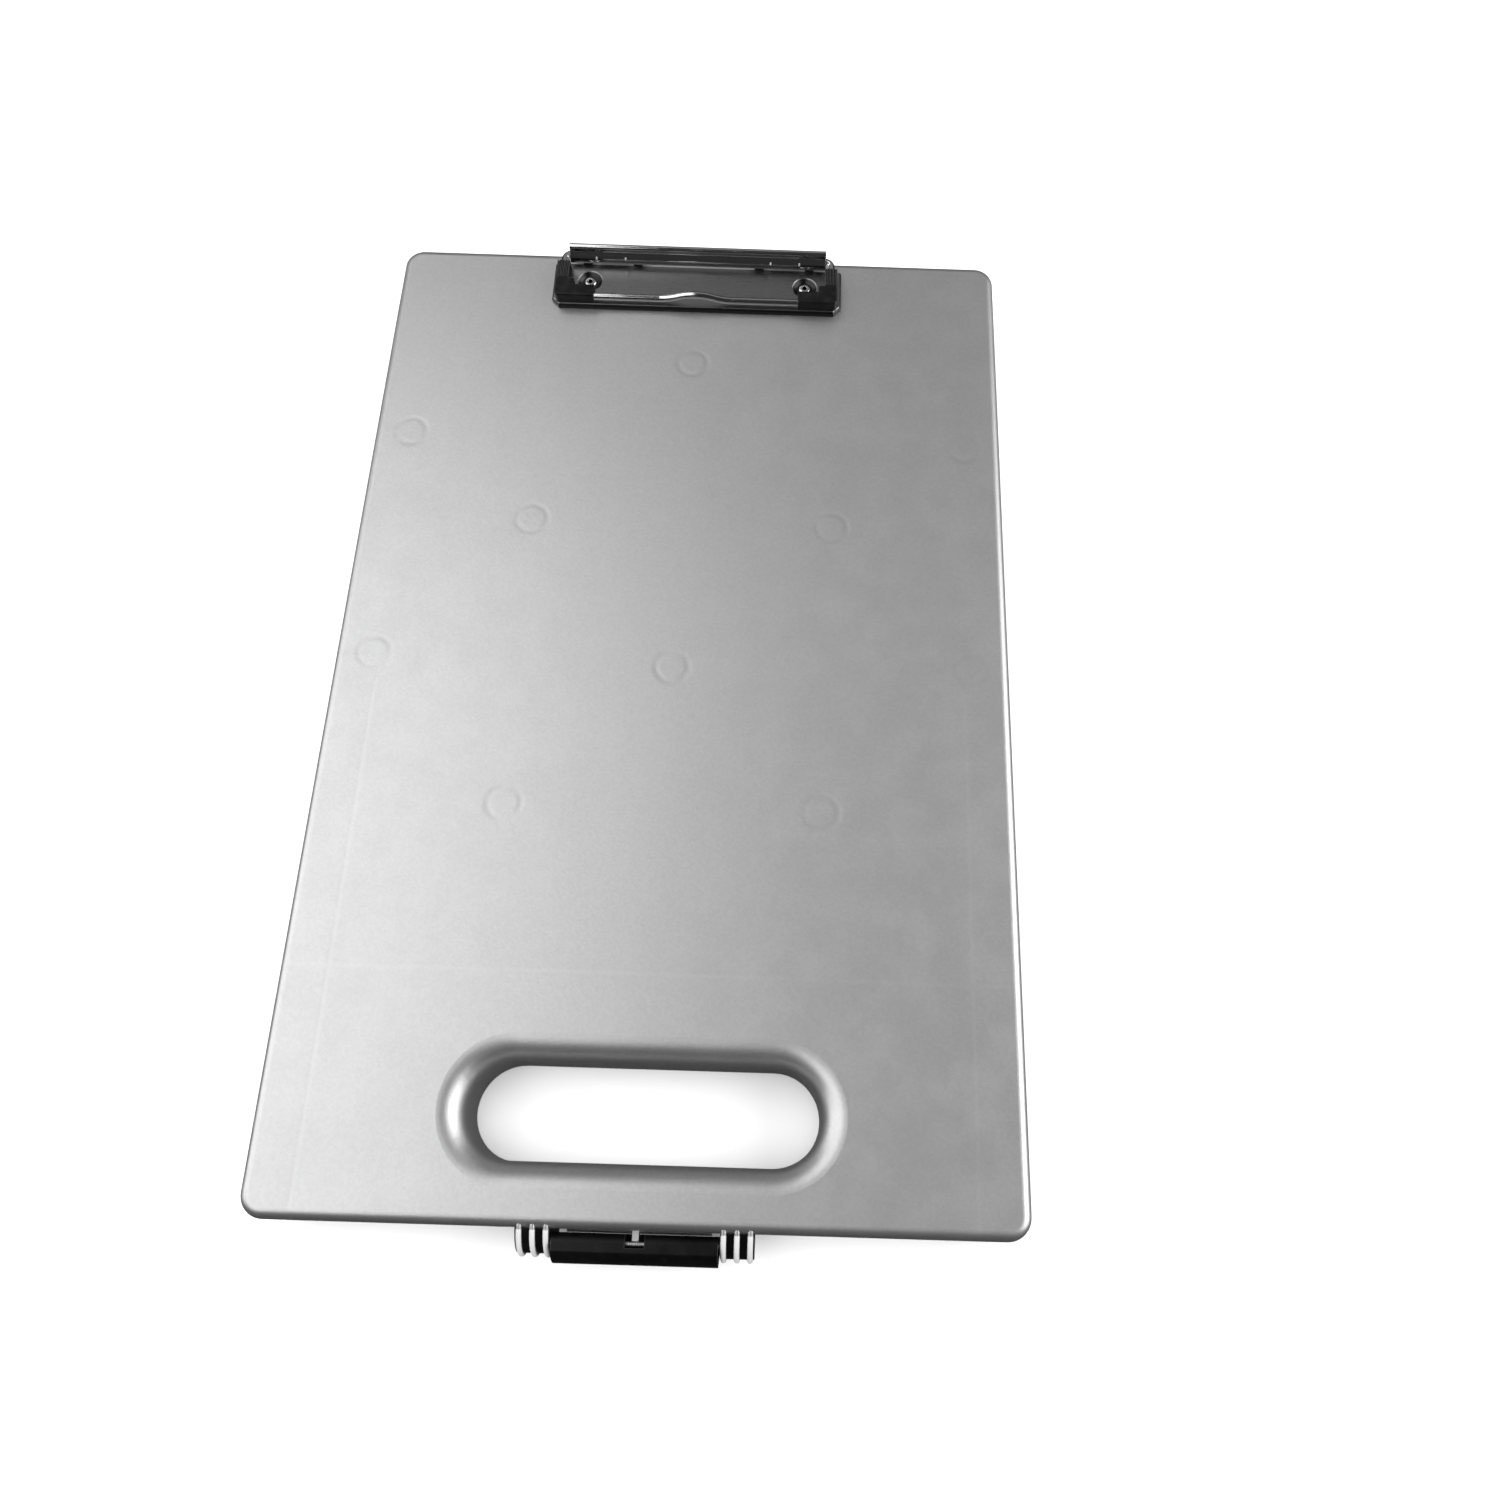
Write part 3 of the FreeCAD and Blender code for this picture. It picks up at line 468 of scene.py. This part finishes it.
@dataclass(frozen=True)
class PlatedSteel:
    """Plated or bare steel with polishing lines, paler edges from wear and dull spots; with face_height,
    painted shade darkens what lies below the face.
    """

    name: str
    bright: Colour
    dull: Colour
    gloss_low: float
    gloss_high: float
    lines: Grain
    line_scale: float = 60.0
    line_depth: float = 0.004 * MM
    edge: float = 0.22 * MM
    face_height: float | None = None
    # Painted shade: the colour and depths for darkening faces below the top face.
    painted_shade_colour: Colour = (0.012, 0.012, 0.012)
    shade_full_depth: float = 0.35 * MM
    shade_start_depth: float = 0.05 * MM

    def build(self) -> bpy.types.Material:
        """Make the material.

        Returns:
            The finished material.
        """
        sheet = NodeSheet(self.name)
        lines = sheet.noise(self.line_scale, 4.0, sheet.stretched(self.lines.value))
        spots = sheet.ranged(sheet.noise(150.0, 5.0), 0.48, 0.72, 0.0, 1.0)
        edge_mask = sheet.edges(self.edge)
        colour = sheet.blend(sheet.ranged(lines, 0.3, 0.7, 0.0, 0.5), self.bright, self.dull)
        colour = sheet.blend(sheet.sum("MULTIPLY", spots, 0.35), colour, self.dull)
        colour = sheet.blend(sheet.sum("MULTIPLY", edge_mask, 0.5), colour, self.bright)
        # Painted shade: the plate's bevel and dimple walls, below its top face, are darkened as if in
        # shadow.
        if self.face_height is not None:
            painted_shade_mask = sheet.ranged(sheet.axis("Z"), self.face_height - self.shade_full_depth,
                                 self.face_height - self.shade_start_depth, 1.0, 0.0)
            colour = sheet.blend(sheet.sum("MULTIPLY", painted_shade_mask, 0.9), colour, self.painted_shade_colour)
        normal = sheet.bump(lines, self.line_depth, sheet.rounded(self.edge))
        haze = sheet.ranged(lines, 0.3, 0.7, self.gloss_low, self.gloss_high)
        rough = sheet.sum("ADD", haze, sheet.sum("MULTIPLY", spots, 0.06))
        sheet.set(Base_Color=colour, Metallic=1.0, Roughness=rough, Normal=normal)
        return sheet.material


# ------------------------------------------------------------------ sub-assemblies
def dress(nodes: Sequence[str], finish: bpy.types.Material) -> None:
    """Give CAD nodes a finish and report each.

    Args:
        nodes: the nodes' names.
        finish: the material for all their slots.
    """
    for name in nodes:
        for material_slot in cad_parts[name].material_slots:
            material_slot.material = finish
        LOG.info("%s dressed in %s", name, finish.name)


def pairs(stem: str) -> tuple[str, str]:
    """The left and right nodes of a stem."""
    return tuple(f"{stem}_{side.word}" for side in Side)


@dataclass
class Case:
    """Tray and lid of the case, with the hinge pins that join them."""

    lid_marks: tuple[tuple[float, float], ...] = (
        (0.0, 0.140), (-0.112, 0.102), (0.112, 0.102), (-0.059, 0.063), (0.059, 0.063),
        (0.0, 0.0005), (-0.112, 0.003), (0.112, 0.003), (-0.057, -0.055), (0.057, -0.055))
    divider_y: float = -0.115
    side_rib_x: float = 0.110

    def dress(self) -> None:
        """Give the shells and pins their finishes."""
        lid = MouldedSilver("lid_silver", sink_marks=self.lid_marks, ribs_along_x=(self.divider_y,),
                            ribs_along_y=(-self.side_rib_x, self.side_rib_x))
        dress(["lid_shell"], lid.build())
        dress(["tray_shell"], MouldedSilver("tray_silver").build())
        pin = PlatedSteel("pin_steel", (0.62, 0.62, 0.63), (0.40, 0.40, 0.41), 0.22, 0.34,
                          Grain.ROUND_X)
        dress([*pairs("hinge_pin"), "latch_pin", *pairs("rivet_washer")], pin.build())


@dataclass
class Latch:
    """Flap and end blocks of the front latch."""

    def dress(self) -> None:
        """Give the flap and blocks their finish."""
        # The flap is black plastic; the end blocks' black is painted shade, standing for the shadow
        # between the latch ribs.
        dress(["latch_flap", *pairs("latch_block")], MouldedBlack("latch_black").build())


@dataclass
class TorsionSpring:
    """One wound spring on the clip's pivot, with a leg at each end."""

    side: Side
    wire_radius: float = 0.35 * MM
    turns: int = 18
    steps_a_turn: int = 20
    section_points: int = 10
    leg_steps: int = 3
    smooth_angle: float = math.radians(50.0)

    def build(self, finish: bpy.types.Material) -> bpy.types.Object:
        """Wind the spring and shape its legs.

        Args:
            finish: the wire's material.

        Returns:
            The finished spring.
        """
        low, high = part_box(f"torsion_spring_{self.side.word}")
        outer = (high.z - low.z) / 2
        mean = outer - self.wire_radius
        pitch = (high.x - low.x - 2 * self.wire_radius) / self.turns
        start = Vector((low.x + self.wire_radius, high.y - outer, (low.z + high.z) / 2))
        bpy.ops.object.select_all(action="DESELECT")
        bpy.ops.mesh.primitive_circle_add(vertices=self.section_points, radius=self.wire_radius,
                                          location=start)
        spring = bpy.context.object
        spring.name = f"wound_spring_{self.side.word}"
        bpy.ops.object.mode_set(mode="EDIT")
        bpy.ops.mesh.select_all(action="SELECT")
        bpy.ops.transform.rotate(value=math.pi / 2, orient_axis="X", center_override=start)
        bpy.ops.transform.translate(value=(0.0, 0.0, mean))
        bpy.ops.object.mode_set(mode="OBJECT")
        coil = spring.modifiers.new("coil", "SCREW")
        coil.axis = "X"
        coil.angle = 2 * math.pi
        coil.screw_offset = pitch
        coil.iterations = self.turns
        coil.steps = coil.render_steps = self.steps_a_turn
        bpy.ops.object.modifier_apply(modifier=coil.name)
        bpy.ops.object.transform_apply(location=True, rotation=True, scale=True)
        bpy.ops.object.mode_set(mode="EDIT")
        bpy.ops.mesh.select_all(action="SELECT")
        bpy.ops.mesh.remove_doubles(threshold=self.wire_radius / 100)
        for end_x in (start.x, start.x + pitch * self.turns):
            self.extend(spring, end_x, low.y + self.wire_radius)
        bpy.ops.mesh.select_all(action="SELECT")
        bpy.ops.mesh.normals_make_consistent(inside=False)
        bpy.ops.object.mode_set(mode="OBJECT")
        bpy.ops.object.shade_smooth_by_angle(angle=self.smooth_angle)
        spring.data.materials.append(finish)
        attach(spring, "jaw")
        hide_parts(f"torsion_spring_{self.side.word}")
        LOG.info("%s wound, %d turns", spring.name, self.turns)
        return spring

    def extend(self, spring: bpy.types.Object, end_x: float, tip_y: float) -> None:
        """Draw a straight leg out of one end of the wire, towards the front.

        Args:
            spring: the coils, in edit mode.
            end_x: the X of the wire's end.
            tip_y: the Y that the leg reaches.
        """
        mesh = bmesh.from_edit_mesh(spring.data)
        bpy.ops.mesh.select_all(action="DESELECT")
        ring = [e for e in mesh.edges if e.is_boundary
                and all(abs(v.co.x - end_x) < 2.5 * self.wire_radius for v in e.verts)]
        for edge in ring:
            edge.select_set(True)
        bmesh.update_edit_mesh(spring.data)
        root_y = sum(v.co.y for e in ring for v in e.verts) / (2 * len(ring))
        step = (tip_y - root_y) / self.leg_steps
        for _ in range(self.leg_steps):
            bpy.ops.mesh.extrude_region_move(TRANSFORM_OT_translate={"value": (0.0, step, 0.0)})
        bpy.ops.mesh.edge_face_add()


@dataclass
class Clip:
    """Low-profile clip: base plate, rivets, wire bail, grips, lever and springs."""

    plate_face: float = 30.4 * MM
    springs: list[TorsionSpring] = field(default_factory=lambda: [TorsionSpring(side) for side in Side])

    def dress(self) -> None:
        """Give the clip's nodes their finishes and wind its springs."""
        nickel = PlatedSteel("bright_nickel", (0.80, 0.80, 0.80), (0.62, 0.62, 0.62), 0.07, 0.14,
                             Grain.ALONG_X)
        # Painted shade: the base plate's dark grey stands for dark reflections on plating like the
        # lever's; its bevel and dimples get more painted shade.
        satin_painted_shade = PlatedSteel("satin_plate_painted_shade", (0.30, 0.30, 0.302), (0.21, 0.21, 0.212), 0.26, 0.36,
                            Grain.ALONG_X, edge=0.3 * MM, face_height=self.plate_face)
        # The grips' paler edge colour is partly wear, partly a painted highlight on their grooves.
        rubber = MouldedBlack("grip_rubber", wear_and_highlight=(0.14, 0.14, 0.145), gloss_low=0.30, gloss_high=0.42,
                              edge=0.3 * MM)
        spring_steel = PlatedSteel("spring_wire", (0.60, 0.60, 0.61), (0.38, 0.38, 0.39), 0.2, 0.3,
                                   Grain.ROUND_X)
        dress(["bail_wire", "thumb_lever", *pairs("clip_rivet")], nickel.build())
        dress(["clip_base_plate"], satin_painted_shade.build())
        dress(pairs("corner_grip"), rubber.build())
        wire = spring_steel.build()
        for spring in self.springs:
            spring.build(wire)


@dataclass
class Studio:
    """Pale floor, soft panels and the camera."""

    floor_size: float = 14.0
    camera_place: tuple[float, float, float] = (0.0406, -0.1887, 0.4376)
    camera_turn: tuple[float, float, float] = (0.36630463, -0.01323055, 0.02930409)
    lens: float = 28.8
    shift_x: float = -0.02
    room_light: float = 1.25
    room_reflection: float = 0.03

    def lay_floor(self) -> None:
        """Make the floor and its pale finish."""
        bpy.ops.object.select_all(action="DESELECT")
        bpy.ops.mesh.primitive_plane_add(size=self.floor_size, location=(0.0, 0.0, 0.0))
        floor = bpy.context.object
        floor.name = "floor"
        sheet = NodeSheet("pale_floor")
        tone = sheet.ranged(sheet.noise(3.0, 3.0), 0.3, 0.7, 0.0, 1.0)
        sheet.set(Base_Color=sheet.blend(tone, (0.86, 0.86, 0.86), (0.88, 0.88, 0.88)), Roughness=0.7)
        floor.data.materials.append(sheet.material)
        floor.visible_glossy = False

    def panel(self, name: str, place: Sequence[float], size: Sequence[float],
              power: float) -> bpy.types.Object:
        """Hang one soft panel that faces the case.

        Args:
            name: the light's name.
            place: its centre.
            size: its width and height.
            power: its power in watts.

        Returns:
            The light's object.
        """
        data = bpy.data.lights.new(name, "AREA")
        data.shape = "RECTANGLE"
        data.size, data.size_y = size
        data.energy = power
        lamp = bpy.data.objects.new(name, data)
        lamp.location = place
        lamp.rotation_euler = Vector(place).to_track_quat("Z", "Y").to_euler()
        lamp.visible_camera = False
        bpy.context.scene.collection.objects.link(lamp)
        return lamp

    def hang_lights(self) -> None:
        """Light the room evenly, keep its reflection low, and hang the panels."""
        world = bpy.data.worlds.new("studio")
        world.use_nodes = True
        nodes, links = world.node_tree.nodes, world.node_tree.links
        level = nodes.new("ShaderNodeMapRange")
        level.inputs["To Min"].default_value = self.room_light
        level.inputs["To Max"].default_value = self.room_reflection
        links.new(nodes.new("ShaderNodeLightPath").outputs["Is Glossy Ray"], level.inputs["Value"])
        nodes["Background"].inputs["Color"].default_value = (1.0, 1.0, 1.0, 1.0)
        links.new(level.outputs["Result"], nodes["Background"].inputs["Strength"])
        bpy.context.scene.world = world
        self.panel("key_panel", (-1.1, 0.0, 2.0), (3.3, 1.6), 28.0)
        self.panel("back_panel", (0.0, 1.9, 2.2), (4.5, 2.6), 7.0)
        self.panel("right_panel", (2.0, 0.1, 1.1), (2.4, 1.9), 48.0)
        self.panel("left_panel", (-2.4, 0.2, 1.0), (2.4, 1.6), 22.0)

    def set_camera(self) -> None:
        """Place the camera over the front of the case."""
        data = bpy.data.cameras.new("camera")
        data.lens = self.lens
        data.shift_x = self.shift_x
        data.clip_start = 0.01
        data.clip_end = 50.0
        camera = bpy.data.objects.new("camera", data)
        camera.location = self.camera_place
        camera.rotation_euler = self.camera_turn
        bpy.context.scene.collection.objects.link(camera)
        bpy.context.scene.camera = camera

    def build(self) -> None:
        """Make the whole studio."""
        self.lay_floor()
        self.hang_lights()
        self.set_camera()
        bpy.context.scene.view_settings.view_transform = "Standard"
        LOG.info("studio set")


def main() -> None:
    """Build and dress the clipboard, then the studio."""
    logging.basicConfig(level=logging.INFO, format="%(name)s: %(message)s")
    Case().dress()
    Latch().dress()
    Clip().dress()
    Studio().build()


if __name__ == "__main__":
    main()
